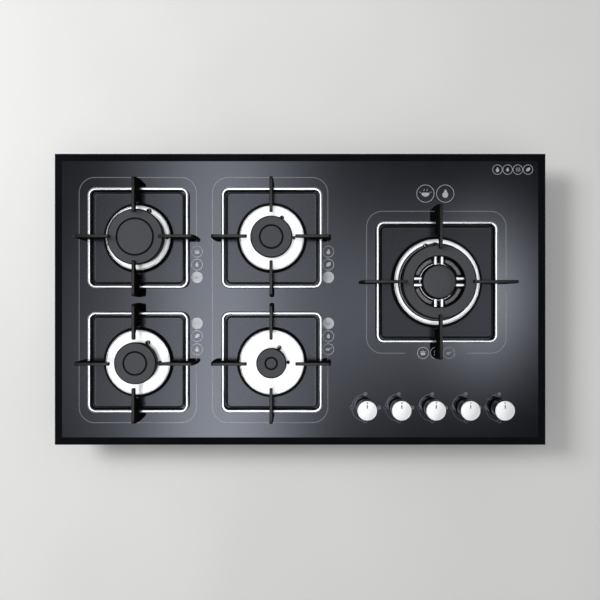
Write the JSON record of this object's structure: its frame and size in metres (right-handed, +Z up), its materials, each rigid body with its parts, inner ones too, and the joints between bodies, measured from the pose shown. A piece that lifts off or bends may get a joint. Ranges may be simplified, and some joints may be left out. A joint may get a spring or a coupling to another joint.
{
  "type": "built-in gas hob",
  "caption": "Black glass built-in gas hob: four burners under square pan supports, a large wok burner at the right and a row of knobs in front of it.",
  "frame": {"origin": "centre of the worktop plane on which the glass's seal lies", "axes": "+X to the user's right along the width, +Y to the rear, +Z up out of the worktop"},
  "size_m": [0.86, 0.51, 0.098],
  "materials": {
    "black_glass": "polished, black",
    "seal_foam": "matte",
    "casing_sheet": "galvanised",
    "support_bar": "polished",
    "cast_finger": "matte enamel",
    "tray_enamel": "satin dark grey enamel",
    "cup_metal": "polished",
    "spreader_metal": "cast, satin",
    "cap_enamel": "matte enamel",
    "electrode_ceramic": "glazed",
    "sensor_steel": "satin",
    "knob_metal": "spun",
    "tap_brass": "machined",
    "tap_body": "die cast",
    "rail_steel": "zinc plated",
    "strap_steel": "galvanised",
    "pipe_metal": "drawn",
    "black_plastic": "matte",
    "white_plastic": "matte",
    "clamp_steel": "zinc plated"
  },
  "bodies": {
    "hob": {"glass_plate": "black_glass", "worktop_seal": "seal_foam", "bottom_casing": "casing_sheet", "drip_trays": "tray_enamel", "burner_cups": "cup_metal", "flame_spreaders": "spreader_metal", "burner_caps": "cap_enamel", "electrodes": "electrode_ceramic", "flame_sensors": "sensor_steel", "gas_taps": "tap_body", "gas_rail": "rail_steel", "burner_straps": "strap_steel", "injectors": "tap_brass", "burner_pipes": "pipe_metal", "spark_generator": "black_plastic", "ignition_switches": "black_plastic", "mains_terminal": "white_plastic", "hold_down_clamps": "clamp_steel"},
    "rear_left_support": {"rear_left_support_frame": "support_bar", "rear_left_support_fingers": "cast_finger"},
    "rear_middle_support": {"rear_middle_support_frame": "support_bar", "rear_middle_support_fingers": "cast_finger"},
    "front_left_support": {"front_left_support_frame": "support_bar", "front_left_support_fingers": "cast_finger"},
    "front_middle_support": {"front_middle_support_frame": "support_bar", "front_middle_support_fingers": "cast_finger"},
    "wok_support": {"wok_support_frame": "support_bar", "wok_support_fingers": "cast_finger"},
    "plug_1": {"tap_plug_1": "tap_brass"},
    "control_1": {"tap_spindle_1": "tap_brass", "knob_1": "knob_metal"},
    "plug_2": {"tap_plug_2": "tap_brass"},
    "control_2": {"tap_spindle_2": "tap_brass", "knob_2": "knob_metal"},
    "plug_3": {"tap_plug_3": "tap_brass"},
    "control_3": {"tap_spindle_3": "tap_brass", "knob_3": "knob_metal"},
    "plug_4": {"tap_plug_4": "tap_brass"},
    "control_4": {"tap_spindle_4": "tap_brass", "knob_4": "knob_metal"},
    "plug_5": {"tap_plug_5": "tap_brass"},
    "control_5": {"tap_spindle_5": "tap_brass", "knob_5": "knob_metal"}
  },
  "joints": [
    {"name": "rear_left_support_lift", "type": "slide", "parent": "hob", "child": "rear_left_support", "axis": [0, 0, 1], "range_m": [0, 0.1]},
    {"name": "rear_middle_support_lift", "type": "slide", "parent": "hob", "child": "rear_middle_support", "axis": [0, 0, 1], "range_m": [0, 0.1]},
    {"name": "front_left_support_lift", "type": "slide", "parent": "hob", "child": "front_left_support", "axis": [0, 0, 1], "range_m": [0, 0.1]},
    {"name": "front_middle_support_lift", "type": "slide", "parent": "hob", "child": "front_middle_support", "axis": [0, 0, 1], "range_m": [0, 0.1]},
    {"name": "wok_support_lift", "type": "slide", "parent": "hob", "child": "wok_support", "axis": [0, 0, 1], "range_m": [0, 0.1]},
    {"name": "control_1_turn", "type": "hinge", "parent": "hob", "child": "plug_1", "pos_m": [0.11418, -0.1895, -0.017], "axis": [0, 0, 1], "range_deg": [0, 180]},
    {"name": "control_1_press", "type": "slide", "parent": "plug_1", "child": "control_1", "axis": [0, 0, 1], "range_m": [-0.003, 0], "stiffness_N_per_m": 2000, "springref_m": 0.003},
    {"name": "control_2_turn", "type": "hinge", "parent": "hob", "child": "plug_2", "pos_m": [0.17273, -0.1895, -0.017], "axis": [0, 0, 1], "range_deg": [0, 180]},
    {"name": "control_2_press", "type": "slide", "parent": "plug_2", "child": "control_2", "axis": [0, 0, 1], "range_m": [-0.003, 0], "stiffness_N_per_m": 2000, "springref_m": 0.003},
    {"name": "control_3_turn", "type": "hinge", "parent": "hob", "child": "plug_3", "pos_m": [0.23129, -0.1895, -0.017], "axis": [0, 0, 1], "range_deg": [0, 180]},
    {"name": "control_3_press", "type": "slide", "parent": "plug_3", "child": "control_3", "axis": [0, 0, 1], "range_m": [-0.003, 0], "stiffness_N_per_m": 2000, "springref_m": 0.003},
    {"name": "control_4_turn", "type": "hinge", "parent": "hob", "child": "plug_4", "pos_m": [0.28985, -0.1895, -0.017], "axis": [0, 0, 1], "range_deg": [0, 180]},
    {"name": "control_4_press", "type": "slide", "parent": "plug_4", "child": "control_4", "axis": [0, 0, 1], "range_m": [-0.003, 0], "stiffness_N_per_m": 2000, "springref_m": 0.003},
    {"name": "control_5_turn", "type": "hinge", "parent": "hob", "child": "plug_5", "pos_m": [0.3484, -0.1895, -0.017], "axis": [0, 0, 1], "range_deg": [0, 180]},
    {"name": "control_5_press", "type": "slide", "parent": "plug_5", "child": "control_5", "axis": [0, 0, 1], "range_m": [-0.003, 0], "stiffness_N_per_m": 2000, "springref_m": 0.003}
  ]
}
